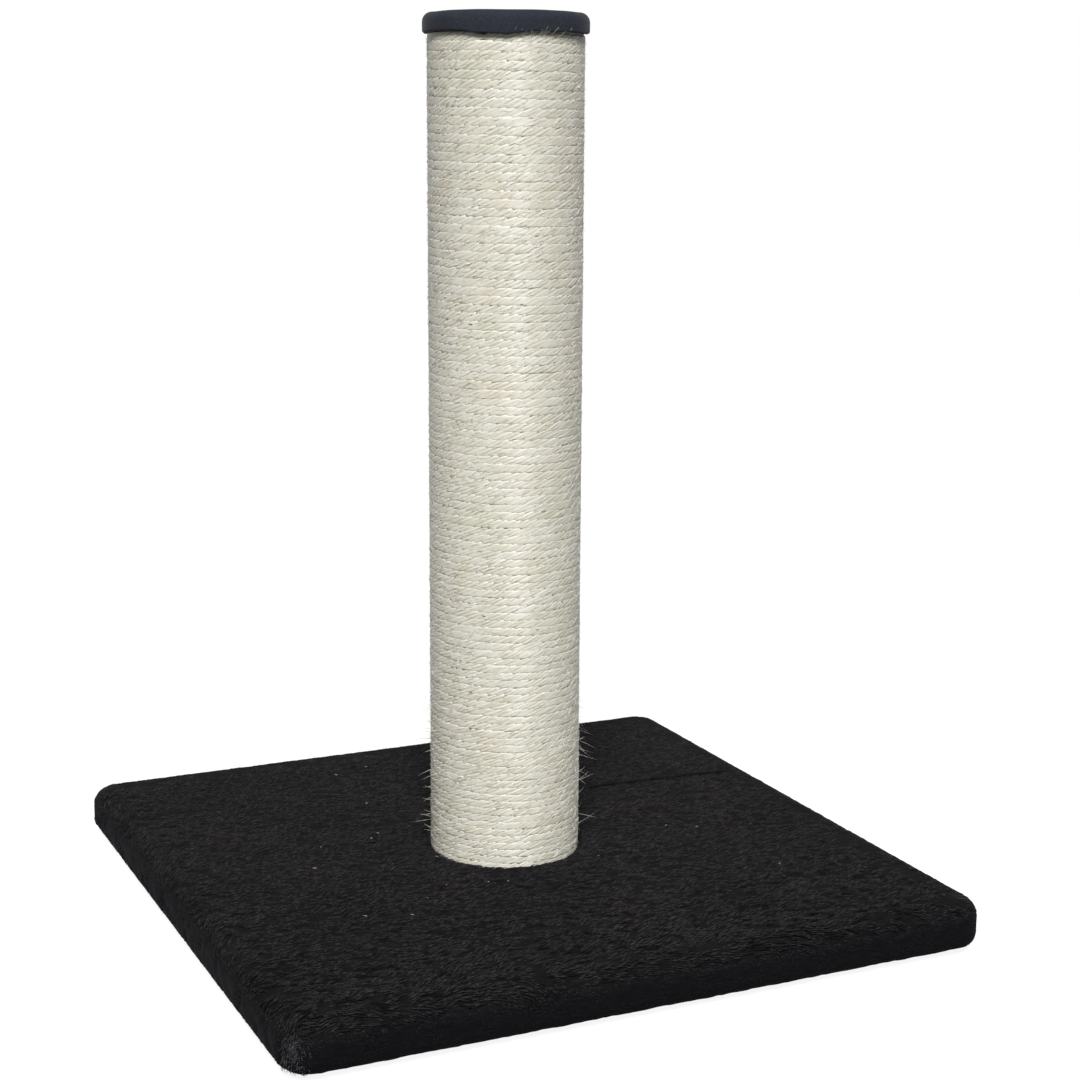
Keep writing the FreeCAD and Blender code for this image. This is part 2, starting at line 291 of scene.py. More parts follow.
def fibres(name, roots, along, up, length, width, lift, curl, rings=2):
    """Tapered fibres as one mesh. lift is how far a fibre rises for its length, and curl is how
    much of that rise it loses again at its tip."""
    count = len(roots)
    side = unit(np.cross(along, up))
    length, width, lift, curl = [np.broadcast_to(v, count)[:, None]
                                 for v in (length, width, lift, curl)]
    layers = []
    for step in range(rings):
        share = step / rings
        middle = roots + length * (along * share + up * (lift * share - curl * share ** 2))
        half = width / 2 * (1 - share) ** 0.6
        layers += [middle + side * half, middle - side * half, middle + up * half]
    layers.append(roots + length * (along + up * (lift - curl)))
    points = np.stack(layers, axis=1)
    faces = []
    for step in range(rings - 1):
        low, high = 3 * step, 3 * step + 3
        for a, b in ((0, 2), (2, 1), (1, 0)):
            faces += [(low + a, low + b, high + b), (low + a, high + b, high + a)]
    last = 3 * (rings - 1)
    faces += [(last, last + 2, 3 * rings), (last + 2, last + 1, 3 * rings),
              (last + 1, last, 3 * rings), (0, 1, 2)]
    faces = np.array(faces)
    shifted = faces[None] + (np.arange(count) * points.shape[1])[:, None, None]
    return mesh_from(name, points.reshape(-1, 3), shifted.reshape(-1, 3))


# %% [markdown]
# ## Sisal
# Sisal is leaf fibre, hard and straight, bleached cream, with a dull silky gloss along the
# fibres. The rope's own UV map is in metres, along the rope and round it, and turns with the
# yarns, so streaks drawn along it follow them, and the gap between two yarns is a line at a
# fixed place round it. A fibre is 0.2 mm wide and is drawn at twice that, or it wouldn't show.

# %% Sisal material
fibre_width = 0.4 * mm
fibre_run = 6 * mm
strand_count, yarn_count = 3, 6
rope_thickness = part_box("sisal_rope")[1].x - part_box("post_tube")[1].x
yarn_width = math.pi * rope_thickness / yarn_count


def sisal_material():
    """Cream fibre in streaks, with shade painted into the gaps between its yarns, warm patches and
    some dirt.
    """
    material, tree, shader, where = new_material("natural_sisal_fibre")
    along = add(tree, "UVMap", {})
    fibre = lumps(tree, along, (fibre_run, fibre_width, 1.0), 3.0, 0.6)
    strand = lumps(tree, along, (70 * mm, 4 * mm, 1.0), 2.0)
    patch = lumps(tree, where, 24 * mm, 2.0)
    speck = lumps(tree, where, (5 * mm, 5 * mm, 2.4 * mm), 1.0)
    # Lumps of noise that set how strongly shade is painted into the yarn gaps.
    gap_shade_patches = lumps(tree, where, 9 * mm, 2.0)
    round_rope = add(tree, "SeparateXYZ", {0: along}, "Y")
    from_gap = add(tree, "Math", {"operation": "PINGPONG", 0: round_rope, 1: yarn_width / 2})
    crest = add(tree, "MapRange", {"Value": from_gap, "From Max": yarn_width / 2})
    # Painted shade: darker towards each gap between two yarns, where the grooves would hold shadow.
    painted_yarn_gap_shade = ramp(tree, crest, [(0.0, "#CFCBBC"), (0.5, "#FFFFFF")])
    gap_shade_share = add(tree, "MapRange", {"Value": gap_shade_patches, "From Min": 0.38, "From Max": 0.62,
                                   "To Min": 0.15})
    streaks = ramp(tree, fibre,
                   [(0.28, "#CAC8BC"), (0.44, "#D8D6CB"), (0.60, "#E2E0D6"), (0.80, "#EEECE4")])
    tint = ramp(tree, strand, [(0.3, "#F3F0E9"), (0.5, "#FAFAF7"), (0.7, "#FFFFFF")])
    warmth = ramp(tree, patch, [(0.33, "#FDFAF7"), (0.5, "#FFFFFF"), (0.67, "#FAFBF8")])
    dirt = ramp(tree, speck, [(0.175, "#857B68"), (0.235, "#FFFFFF")])
    mixed = mix(tree, gap_shade_share, streaks, painted_yarn_gap_shade)
    for factor in (tint, warmth, dirt):
        mixed = mix(tree, 1.0, mixed, factor)
    # Each fibre shines across its length, so a band of gloss stands where the light comes from.
    fibre_way = add(tree, "Tangent", {"direction_type": "UV_MAP", "uv_map": "along_rope"})
    fit(shader, {"Base Color": mixed, "Normal": bump(tree, fibre, 0.5, 0.2 * mm),
                 "Tangent": fibre_way, "Anisotropic": 0.85, "Anisotropic Rotation": 0.25,
                 "Roughness": 0.52, "Specular IOR Level": 0.7})
    return material


sisal = sisal_material()

# %% Loose sisal


def sisal_hair_material():
    """The same fibre, loose: it has no lay to follow, so its tone changes from place to place."""
    material, tree, shader, where = new_material("loose_sisal_fibre")
    tone = ramp(tree, lumps(tree, where, 6 * mm, 1.0),
                [(0.3, "#D6D3C4"), (0.5, "#ECEADF"), (0.7, "#F8F6EE")])
    fit(shader, {"Base Color": tone, "Roughness": 0.5, "Specular IOR Level": 0.25})
    return material


sisal_hair = sisal_hair_material()

# %% [markdown]
# ## The wound rope
# The rope is three strands of two yarns, twisted together, and wound round the tube from the foot
# to the cap, with its turns closer at the foot than at the top. A swept curve could give a round
# rope, but this one is pulled tight: its section is squeezed against the tube and against the next
# turns until it is nearly square, while the yarns still turn inside it. So each ring of points is
# worked out by a formula: six lobes, turned by the lay, then pressed to the rounded square. The
# rope is made in a few lengths, which meet at the back of the post.

# %% The line of the winding
tube_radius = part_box("post_tube")[1].x
rope_low, rope_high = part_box("sisal_rope")
rope_outside = rope_high.x
wind_radius = tube_radius + rope_thickness / 2
rope_radius = 1.775 * mm
first_height = rope_low.z + rope_radius
last_height = rope_high.z - rope_radius
turns = 103
top_to_foot_pitch = 4.85 / 4.00
closest_pitch = 2 * (last_height - first_height) / turns / (1 + top_to_foot_pitch)
widest_pitch = closest_pitch * top_to_foot_pitch
rope_end_angle = math.radians(-129.0)
foot_tail, top_tail = 0.9, 0.95
foot_tail_rise, top_tail_rise = 1.6 * mm, 2.4 * mm
foot_tail_taper, top_tail_taper = 0.8, 0.75
foot_nick, foot_nick_size, foot_nick_depth = 0.914, 0.007, 0.6
top_nick, top_nick_size, top_nick_depth = turns + 0.003, 0.012, 0.62
print("pitch %.2f to %.2f mm" % (closest_pitch / mm, widest_pitch / mm))


def turn_pitch(turn):
    """Distance from one turn to the next."""
    return closest_pitch + (widest_pitch - closest_pitch) * np.clip(turn, 0, turns) / turns


def turn_height(turn):
    """Height of the middle of the rope after so many turns. The tails at both ends run nearly
    level, to fill the wedge that is left between a spiral and a flat end."""
    wound = np.clip(turn, 0, turns)
    height = first_height + closest_pitch * wound
    height += (widest_pitch - closest_pitch) * wound ** 2 / (2 * turns)
    return (height + foot_tail_rise * np.minimum(turn, 0)
            + top_tail_rise * np.maximum(turn - turns, 0))


def turn_share(turn):
    """How thick the rope is: 1, and less along the tails and in two nicks."""
    share = 1 + foot_tail_taper * np.minimum(turn, 0)
    share -= top_tail_taper * np.maximum(turn - turns, 0)
    share -= foot_nick_depth * np.exp(-((turn - foot_nick) / foot_nick_size) ** 2)
    return share - top_nick_depth * np.exp(-((turn - top_nick) / top_nick_size) ** 2)


# %% Rings of points round the rope
lay_length = 26 * mm
yarn_points = 3
squareness = 4.5
touching = 0.76
strand_gap, yarn_gap, gap_change = 0.05, 0.06, 0.7
drift_size = 0.25 * mm
fat_change, twist_change, reach_change = 0.05, 0.8, 0.05
noise_ring = 6 * mm
cap_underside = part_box("cap_cover")[0].z + 1.0 * mm


def rope_rings(turn):
    """Rings of points round the rope, and how far along the rope and round it each one is."""
    count = yarn_count * yarn_points
    round_rope = 2 * math.pi * np.arange(count + 1) / count - math.pi
    along = turn * 2 * math.pi * wind_radius
    angle = rope_end_angle - 2 * math.pi * turn
    middle = np.column_stack([compass(angle) * wind_radius, turn_height(turn)])
    drift = noise(middle, (30 * mm, 30 * mm, 3.5 * mm), 5)
    on_line = along[:, None]
    fat = 1 + fat_change * noise(on_line, 9 * mm, 3)
    twist = twist_change * noise(on_line, 22 * mm, 6)
    depth = 1 + gap_change * noise(on_line, 13 * mm, 7)[:, None]
    where = np.stack(np.broadcast_arrays(along[:, None], noise_ring * np.cos(round_rope),
                                         noise_ring * np.sin(round_rope)), axis=-1)
    uneven = noise(where.reshape(-1, 3), (7 * mm, 3 * mm, 3 * mm), 14).reshape(where.shape[:2])
    between_strands = 1 - np.abs(np.sin(strand_count / 2 * round_rope)) ** 0.8
    between_yarns = 1 - np.abs(np.sin(yarn_count / 2 * round_rope)) ** 0.8
    reach = 1 - depth * (strand_gap * between_strands + yarn_gap * between_yarns)
    reach += reach_change * uneven
    turned = round_rope - (2 * math.pi * along / lay_length + twist)[:, None]
    rise = np.arcsin(np.sin(turned)) * 2 / math.pi
    out = np.sign(np.cos(turned)) * (1 - np.abs(rise) ** squareness) ** (1 / squareness)
    thick = np.sqrt(np.clip(turn_share(turn), 0.05, 1))
    far = wind_radius + rope_thickness / 2 * (reach * out) * thick[:, None]
    tall = turn_pitch(turn) * touching * fat * turn_share(turn)
    height = middle[:, 2:] + drift_size * drift[:, None] + tall[:, None] * reach * rise
    points = np.stack([np.cos(angle)[:, None] * far, np.sin(angle)[:, None] * far,
                       np.minimum(height, cap_underside)], axis=-1)
    around = (round_rope + math.pi) * rope_thickness / 2
    return points, np.stack(np.broadcast_arrays(along[:, None], around), axis=-1)


# %% Join the rings into rope
steps_per_turn = 180
rope_piece_count = 6
turn_at_back = 0.458


def rope_piece(index):
    """Some turns of the rope as one closed tube, with its UV map in metres."""
    ends = np.round(np.linspace(0, turns, rope_piece_count + 1)) + turn_at_back
    ends[0], ends[-1] = -foot_tail, turns + top_tail
    first, last = ends[index], ends[index + 1]
    turn = np.linspace(first, last, int(steps_per_turn * (last - first)) + 1)
    points, uv = rope_rings(turn)
    rows, columns = points.shape[0], points.shape[1] - 1
    row = np.arange(rows - 1)[:, None]
    column = np.arange(columns)[None]
    beside = (column + 1) % columns
    here = row * columns
    faces = np.stack([here + column, here + beside, here + columns + beside,
                      here + columns + column], axis=-1).reshape(-1, 4)
    rope = mesh_from("sisal_rope_%d" % (index + 1), points[:, :-1].reshape(-1, 3), faces)
    corners = np.stack([uv[:-1, :-1], uv[:-1, 1:], uv[1:, 1:], uv[1:, :-1]], axis=2)
    layer = rope.data.uv_layers.new(name="along_rope")
    layer.data.foreach_set("uv", corners.astype(np.float32).ravel())
    return rope


def close_ends(piece):
    """Fills the open ends of a tube with flat faces, and turns all its faces outwards."""
    only(piece)
    bpy.ops.object.mode_set(mode="EDIT")
    bpy.ops.mesh.select_all(action="DESELECT")
    bpy.ops.mesh.select_mode(type="EDGE")
    bpy.ops.mesh.select_non_manifold()
    bpy.ops.mesh.edge_face_add()
    bpy.ops.mesh.faces_shade_flat()
    bpy.ops.mesh.select_all(action="SELECT")
    bpy.ops.mesh.normals_make_consistent(inside=False)
    bpy.ops.object.mode_set(mode="OBJECT")


for i in range(rope_piece_count):
    rope = rope_piece(i)
    close_ends(rope)
    dress(rope, sisal, "post", "sisal", *(["sisal_rope"] if i == 0 else []))


# %% [markdown]
# ## Stray sisal hairs
# Cut fibre ends stand out of the rope, most of all near the foot, where the rope was rubbed. They
# leave the rope along its turns and slant outwards: many that lie on it, many fine short ones, and
# a few long ones low down.

# %% Stray hairs on the rope
hair_random = np.random.default_rng(11)
slant_mean, slant_spread = 0.48, 0.30
root_depth = 0.08 * mm


def rope_hairs(name, count, low, high, length, width, stand):
    """Hairs that grow from the outside of the rope between two heights. stand is how steeply
    they leave it."""
    angle = hair_random.uniform(0, 2 * math.pi, count)
    height = hair_random.uniform(low, high, count)
    out = np.column_stack([compass(angle), angle * 0])
    roots = out * (rope_outside - root_depth)
    roots[:, 2] = height
    tangent = np.column_stack([compass(angle + math.pi / 2), angle * 0])
    way = hair_random.choice([-1.0, 1.0], count)[:, None]
    slant = hair_random.normal(slant_mean, slant_spread, (count, 1))
    along = unit((tangent + np.array([0, 0, 1]) * slant) * way + out * 0.1)
    lengths = length * hair_random.uniform(0.3, 1.0, count)
    lift = stand * hair_random.uniform(0.2, 1.6, count)
    return fibres(name, roots, along, out, lengths, width, lift,
                  lift * hair_random.uniform(0.0, 0.5, count), 4)


hair_kinds = [
    ("sisal_hairs_lying", 8500, rope_low.z + mm, rope_high.z, 5.5 * mm, 0.32 * mm, 0.05),
    ("sisal_hairs_fine", 5500, rope_low.z + 2 * mm, rope_high.z, 2.6 * mm, 0.22 * mm, 0.3),
    ("sisal_hairs_long", 190, rope_low.z + 5 * mm, 0.115, 11 * mm, 0.22 * mm, 1.2),
]
for kind in hair_kinds:
    dress(rope_hairs(*kind), sisal_hair, "post", "sisal")


# %% [markdown]
# ## Plush
# Plush is a knitted backing with a cut pile of black acrylic. Its fibres drink light, and only
# their sides and tips give a faint grey sheen. The pile doesn't lie quite evenly, so its tone
# changes in fine streaks and in broad patches.

# %% Plush material
nap_angle = math.radians(-24.0)
all_side, all_top = 17 * mm, 29 * mm


def plush_material(name, tones, shaded_side_tones):
    """Black plush in three tones, from the dark between its tufts to the light on them, and in two
    darker ones for the sides, where the pile points to the floor: painted shade for sides that face
    away from the high light. The lower the piece's own shade, from 1 down to 0, the darker it is."""
    material, tree, shader, where = new_material(name)
    streak = lumps(tree, where, (5 * mm, 1.0 * mm, 1.5 * mm), 3.0, 0.55, -nap_angle)
    tone = ramp(tree, streak, list(zip((0.30, 0.50, 0.72), tones)))
    # Darker tones for the sides: painted shade, as they face away from the high light.
    side = ramp(tree, streak, list(zip((0.35, 0.65), shaded_side_tones)))
    patch = ramp(tree, lumps(tree, where, 45 * mm, 2.0), [(0.3, "#E6E8EC"), (0.7, "#FFFBF9")])
    shade = add(tree, "Attribute", {"attribute_name": "shade"}, "Fac")
    shaded = ramp(tree, shade, [(0.0, "#3C3C40"), (1.0, "#FFFFFF")])
    height = add(tree, "MapRange", {"Value": add(tree, "SeparateXYZ", {0: where}, "Z"),
                                    "From Min": all_side, "From Max": all_top})
    top = mix(tree, 1.0, mix(tree, 1.0, tone, patch), shaded)
    fit(shader, {"Base Color": mix(tree, height, side, top, "MIX"),
                 "Normal": bump(tree, streak, 0.5, 0.5 * mm), "Roughness": 0.85,
                 "Specular IOR Level": 0.03, "Sheen Weight": 0.04, "Sheen Roughness": 0.35,
                 "Sheen Tint": colour("#8C8A90")})
    return material


def set_shade(piece, values):
    """Gives each point of a plush piece its shade."""
    layer = piece.data.attributes.new("shade", "FLOAT", "POINT")
    layer.data.foreach_set("value", np.clip(values, 0, 1).astype(np.float32))


# The last two tones of each plush are for its sides, painted darker as shade.
plush = plush_material("black_acrylic_plush", ("#201F20", "#333233", "#4A494A"),
                       ("#141416", "#1A1A1D"))
# The cloth under the pile wears the same plush at darker tones: painted shade under the tufts.
shaded_plush_ground = plush_material("black_acrylic_plush_ground_shaded", ("#0F0E0F", "#171617", "#201F20"),
                              ("#0E0E10", "#131315"))


# %% [markdown]
# ## The plush cover
# The cover is one square of plush, laid over the padded board, pulled down its sides and stapled
# under it. The flat square is folded by a formula: what lies further out than the top follows
# the rounded edge, the side, the lower edge and then the hem. At the corners the spare cloth is
# taken up, as the real one is eased in with small gathers. In the middle the post has pressed the
# pile down to its seat.

# %% Sizes of the cover
cover_low, cover_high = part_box("base_cover")
cover_half = cover_high.x
plan_corner = 18 * mm
top_edge = 12 * mm
bottom_edge = 9 * mm
hem_width = 35 * mm
hem_corner = 12 * mm
pile_depth = 1.0 * mm
core_half = cover_half - plan_corner
side_height = cover_high.z - cover_low.z - top_edge - bottom_edge
flat_part = plan_corner - top_edge
top_arc = top_edge * math.pi / 2
bottom_arc = bottom_edge * math.pi / 2
hem_part = hem_width - bottom_edge
reach = flat_part + top_arc + side_height + bottom_arc + hem_part
cloth_half = core_half + reach
seat_height = 27 * mm
seat_radius = rope_outside + 0.5 * mm
bolt_hole = 4.6 * mm
print("plush cut to %.0f mm square" % (2 * cloth_half / mm))

# %% The edge of the cover


def profile(path):
    """Half width, corner radius and height of the cover where the cloth has gone this far out."""
    over = np.clip(path - flat_part, 0, top_arc) / top_edge
    down = np.clip(path - flat_part - top_arc, 0, side_height)
    under = np.clip(path - flat_part - top_arc - side_height, 0, bottom_arc) / bottom_edge
    back = np.clip(path - reach + hem_part, 0, None)
    out = (np.clip(path, 0, flat_part) + top_edge * np.sin(over)
           - bottom_edge * (1 - np.cos(under)) - back)
    half = core_half + out
    corner = np.maximum(out, bottom_edge + (hem_corner - bottom_edge) * back / hem_part)
    corner = np.where(path < reach - hem_part, out, corner)
    height = (cover_high.z - top_edge * (1 - np.cos(over)) - down - bottom_edge * np.sin(under))
    return half, corner, height


# %% The fold
seat_rim_drop = 1.7 * mm


def fold(flat):
    """Where each point of the flat cloth lies on the base. flat is an array of x and y."""
    size = np.abs(flat)
    sign = np.where(flat < 0, -1.0, 1.0)
    beyond = np.maximum(size - core_half, 0)
    path = beyond.max(axis=1)
    half, corner, height = profile(path)
    turned = np.arctan2(beyond[:, 1], beyond[:, 0])
    facing = compass(turned) * (path > 0)[:, None]
    inner = np.minimum(size, core_half) / core_half * (half - corner)[:, None]
    plan = sign * (inner + facing * corner[:, None])
    placed = np.column_stack([plan, height])
    away = np.hypot(flat[:, 0], flat[:, 1])
    rim = cover_high.z - seat_rim_drop
    level = np.interp(away, [seat_radius - 0.6 * mm, seat_radius + 0.6 * mm,
                             seat_radius + 3 * mm, seat_radius + 9 * mm],
                      [seat_height, rim - 0.6 * mm, rim, cover_high.z])
    placed[:, 2] = np.minimum(placed[:, 2], np.where(path > 0, placed[:, 2], level))
    return placed


def surface(flat, heading):
    """Points, normals and unit nap directions of the folded cloth, for a heading in the flat."""
    small = 0.05 * mm
    ahead = compass(heading) * small
    left = compass(heading + math.pi / 2) * small
    place = fold(flat)
    along = unit(fold(flat + ahead) - fold(flat - ahead))
    across = unit(fold(flat + left) - fold(flat - left))
    return place, unit(np.cross(along, across)), along


# %% Helpers for sheets


def open_middle(piece, flat, radius):
    """Deletes the points of a sheet that lie within a radius of its middle."""
    only(piece)
    gap = np.hypot(flat[:, 0], flat[:, 1]) < radius - 0.1 * mm
    select_nothing(piece.data)
    piece.data.vertices.foreach_set("select", gap)
    bpy.ops.object.mode_set(mode="EDIT")
    bpy.ops.mesh.delete(type="VERT")
    bpy.ops.object.mode_set(mode="OBJECT")


def snap_to_rings(flat, rings, within):
    """Moves the points of a grid that lie near a ring onto it, so that a round edge is round."""
    away = np.hypot(flat[:, 0], flat[:, 1])
    for ring in rings:
        near = np.abs(away - ring) < within
        flat[near] *= (ring / away[near])[:, None]
        away[near] = ring
    return flat


def flat_grid(name, cells, size):
    """A flat grid of quads round the middle, at the size that a cloth is cut to."""
    bpy.ops.object.select_all(action="DESELECT")
    bpy.ops.mesh.primitive_grid_add(x_subdivisions=cells, y_subdivisions=cells, size=size)
    sheet = bpy.context.active_object
    sheet.name = name
    return sheet


def thicken(sheet, thickness, offset=-1, share=""):
    """Gives a sheet its thickness, all of it or, by a vertex group, a share at each point."""
    wall = sheet.modifiers.new("thickness", "SOLIDIFY")
    wall.thickness = thickness
    wall.offset = offset
    wall.vertex_group = share
    bpy.ops.object.modifier_apply(modifier=wall.name)
    bpy.ops.object.shade_smooth()


# %% The cloth of the cover
cloth_cells = 300
crushed_pile = 0.05 * mm


def plush_cover():
    """The knitted backing of the plush: folded, uneven, and open where the bolt comes through."""
    cover = flat_grid("plush_cover", cloth_cells, 2 * cloth_half)
    rings = (seat_radius - 0.6 * mm, seat_radius + 1.2 * mm, bolt_hole)
    flat = snap_to_rings(points_of(cover)[:, :2], rings, 0.95 * mm)
    place, normal, _ = surface(flat, np.full(len(flat), nap_angle))
    relief = 0.30 * noise(place, 7 * mm, 1) + 0.25 * noise(place, 3 * mm, 2)
    depth = pile_depth - relief * mm
    depth[np.hypot(flat[:, 0], flat[:, 1]) < seat_radius] = crushed_pile
    set_points(cover, place - normal * depth[:, None])
    open_middle(cover, flat, bolt_hole)
    set_shade(cover, np.ones(len(cover.data.vertices)))
    bpy.ops.object.shade_smooth()
    return cover


# The backing gets the darker plush, painted with the shade under the pile.
cover = dress(plush_cover(), shaded_plush_ground, "base", "plush", "base_cover")

# %% [markdown]
# ## The pile
# The pile stands on the cloth as thousands of small licks of fibre, laid along the nap. Each one is
# placed in the flat cloth and carried over the fold with it. Noise stretched along the nap lifts
# some and leaves small pits between others, and more of it paints shade into short dashes for the
# pits, darkest towards the front. To the right of the post the pile parts along a line, and shade
# is painted along it. Every tuft is painted darker at its root than at its tip, as shade deep in
# the pile.

# %% Where the pile grows
pile_random = np.random.default_rng(4)
pile_spacing = 1.75 * mm


def pile_roots():
    """Roots in the flat cloth: a grid whose points are shaken, without the seat and the hem."""
    edge = core_half + flat_part + top_arc + side_height + 5 * mm
    line = np.arange(-edge, edge, pile_spacing)
    flat = np.stack(np.meshgrid(line, line), axis=-1).reshape(-1, 2)
    flat += pile_random.uniform(-0.5, 0.5, flat.shape) * pile_spacing
    away = np.hypot(flat[:, 0], flat[:, 1])
    return flat[away > seat_radius + 0.8 * mm]


def along_nap(flat, length, width, seed):
    """Noise stretched along the nap."""
    turn = np.array([[math.cos(nap_angle), -math.sin(nap_angle)],
                     [math.sin(nap_angle), math.cos(nap_angle)]])
    return noise(flat @ turn, (length, width), seed)


coarse_band = 34 * mm
parting_start = np.array((80.0, 62.7)) * mm
parting_end = np.array((182.0, 56.0)) * mm


def beside_parting(flat):
    """Distance of each point from the line where the pile parts, on the right of the post."""
    line = parting_end - parting_start
    share = np.clip((flat - parting_start) @ line / (line @ line), 0, 1)
    near = parting_start + share[:, None] * line
    return np.hypot(*(flat - near).T)


def coarse_share(flat):
    """1 along the front and left edges, where the pile is rubbed into locks, and 0 inside."""
    front = -core_half - top_edge / 2 - flat[:, 1]
    left = -core_half - top_edge / 2 - flat[:, 0]
    nearest = np.maximum(front, left)
    return np.exp(-(nearest / (coarse_band / 2)) ** 2)


# %% Grow the pile
pile_piece_count = 4
pile_length, pile_lift, pile_curl = 3.4, 0.62, 0.55
side_length, side_lift = 0.6, 0.5
back_shortening, back_flattening = 0.35, 0.55
parting_width = 2.2 * mm
# Painted shade deep in the pile: each tuft is darker at its root than at its tip.
root_to_tip_shade = np.array([0.7] * 3 + [0.9] * 3 + [1.0])


def grow_pile():
    """The pile in a few pieces. Each tuft's length, rise and heading come from the noise, and
    tufts on the sides and the back edges are short and lie flat."""
    flat = pile_roots()
    coarse = coarse_share(flat)
    fine_ridge = along_nap(flat, 6 * mm, 2.2 * mm, 21)
    lock_ridge = along_nap(flat, 8 * mm, 3.5 * mm, 25)
    ridge = fine_ridge * (1 - coarse) + 1.1 * lock_ridge * coarse
    broad = noise(flat, 40 * mm, 22)
    swirl = noise(flat, 9 * mm, 23)
    on_side = np.abs(flat).max(axis=1) > core_half + flat_part + 0.7 * top_arc
    keep = (ridge > -0.42 + 0.12 * coarse) | on_side
    flat, ridge, broad, swirl, coarse, on_side = [
        v[keep] for v in (flat, ridge, broad, swirl, coarse, on_side)]
    count = len(flat)
    heading = nap_angle + 0.30 * broad + (0.22 + 0.35 * coarse) * swirl
    heading += pile_random.normal(0, 0.16, count)
    place, normal, along = surface(flat, heading)
    place -= normal * (pile_depth + 0.4 * mm)
    length = (pile_length + 0.9 * ridge + coarse + pile_random.normal(0, 0.35, count)) * mm
    lift = pile_lift + 0.20 * ridge + 0.12 * coarse + pile_random.normal(0, 0.06, count)
    at_back = np.clip((flat.max(axis=1) - core_half) / (10 * mm) + 1, 0, 1)
    length *= np.where(on_side, side_length, 1 - back_shortening * at_back)
    lift *= np.where(on_side, side_lift, 1 - back_flattening * at_back)
    width = pile_random.uniform(0.75, 1.15, count) * mm
    dashes = along_nap(flat, 4.5 * mm, 2.2 * mm, 27)
    to_front = np.clip((60 * mm - flat[:, 1]) / (220 * mm), 0, 1)
    # Painted shade: short dark dashes for the pits in the pile, more towards the front.
    shade = 1 - np.clip((dashes - 0.52 + 0.20 * to_front) / 0.12, 0, 1) * (0.3 + 0.4 * to_front)
    # Painted shade along the line where the pile parts.
    shade -= 0.9 * np.exp(-(beside_parting(flat) / parting_width) ** 2)
    shade -= 0.12 * pile_random.uniform(0, 1, count)
    pieces = []
    for i, part in enumerate(np.array_split(np.arange(count), pile_piece_count)):
        pile = fibres("plush_pile_%d" % (i + 1), place[part], along[part], normal[part],
                      length[part], width[part], lift[part], lift[part] * pile_curl)
        set_shade(pile, (shade[part][:, None] * root_to_tip_shade).ravel())
        pieces.append(pile)
    return pieces


for pile in grow_pile():
    dress(pile, plush, "base", "plush")


# %% [markdown]
# ## The worn corner
# The corner nearest the camera is rubbed: its pile is broken, stands out more than the rest, and
# looks grey, because the light catches its ends.

# %% Broken pile on the corner
worn_random = np.random.default_rng(17)
# Lighter greys for the broken pile: painted highlight on its ends, over the wear that its shape
# shows.
worn_plush_lit_ends = plush_material("rubbed_acrylic_plush_lit_ends", ("#333335", "#48484A", "#5E5E60"),
                            ("#303032", "#505052"))


worn_count = 230
worn_spread = 7 * mm


def worn_corner():
    """Loose fibres spread over the front left corner, in all directions round the outward one."""
    middle = -(core_half + flat_part + top_arc * 0.95)
    flat = worn_random.normal(middle, worn_spread, (worn_count, 2))
    heading = worn_random.normal(math.radians(-135), 0.8, worn_count)
    place, normal, along = surface(flat, heading)
    rubbed = fibres("rubbed_pile", place - normal * 0.9 * mm, along, normal,
                    worn_random.uniform(1.5, 4.0, worn_count) * mm,
                    worn_random.uniform(0.2, 0.45, worn_count) * mm, 0.5, 0.2)
    set_shade(rubbed, np.ones(len(rubbed.data.vertices)))
    return rubbed


dress(worn_corner(), worn_plush_lit_ends, "base", "plush")

# %% [markdown]
# ## The cloth cap
# The cap is a disc under felt and a dark blue-grey cloth, pulled over its edge and tucked in below.
# A cylinder gives the cap, its top edge is bevelled to a round shoulder and its lower edge to a
# small rim. The rim is then waved, because the cloth is pulled in by hand between staples, and it
# dips where the photograph shows it lowest.

# %% Cap cloth material


def cap_cloth_material():
    """Dark blue-grey cloth with a felted face."""
    material, tree, shader, where = new_material("charcoal_felted_cloth")
    fluff = lumps(tree, where, 1.2 * mm, 4.0, 0.7)
    tone = ramp(tree, fluff, [(0.30, "#1C1F25"), (0.50, "#25282F"), (0.70, "#2F3239")])
    patch = ramp(tree, lumps(tree, where, 25 * mm, 2.0), [(0.35, "#EDEEFF"), (0.65, "#FFFFFF")])
    fit(shader, {"Base Color": mix(tree, 1.0, tone, patch),
                 "Normal": bump(tree, fluff, 0.35, 0.3 * mm), "Roughness": 0.85,
                 "Specular IOR Level": 0.2, "Sheen Weight": 0.05, "Sheen Roughness": 0.4})
    return material


cap_cloth = cap_cloth_material()

# %% Model a cap
cap_sides = 240
same_plane = 0.004 * mm


def select_where(piece, kind, wanted):
    """In edit mode, only the edges whose ends, or the faces whose middle, pass a test of height."""
    bpy.ops.object.mode_set(mode="OBJECT")
    mesh = piece.data
    select_nothing(mesh)
    if kind == "EDGE":
        for edge in mesh.edges:
            edge.select = all(wanted(mesh.vertices[i].co.z) for i in edge.vertices)
    else:
        for face in mesh.polygons:
            face.select = wanted(face.center.z)
    bpy.ops.object.mode_set(mode="EDIT")
    bpy.ops.mesh.select_mode(type=kind)


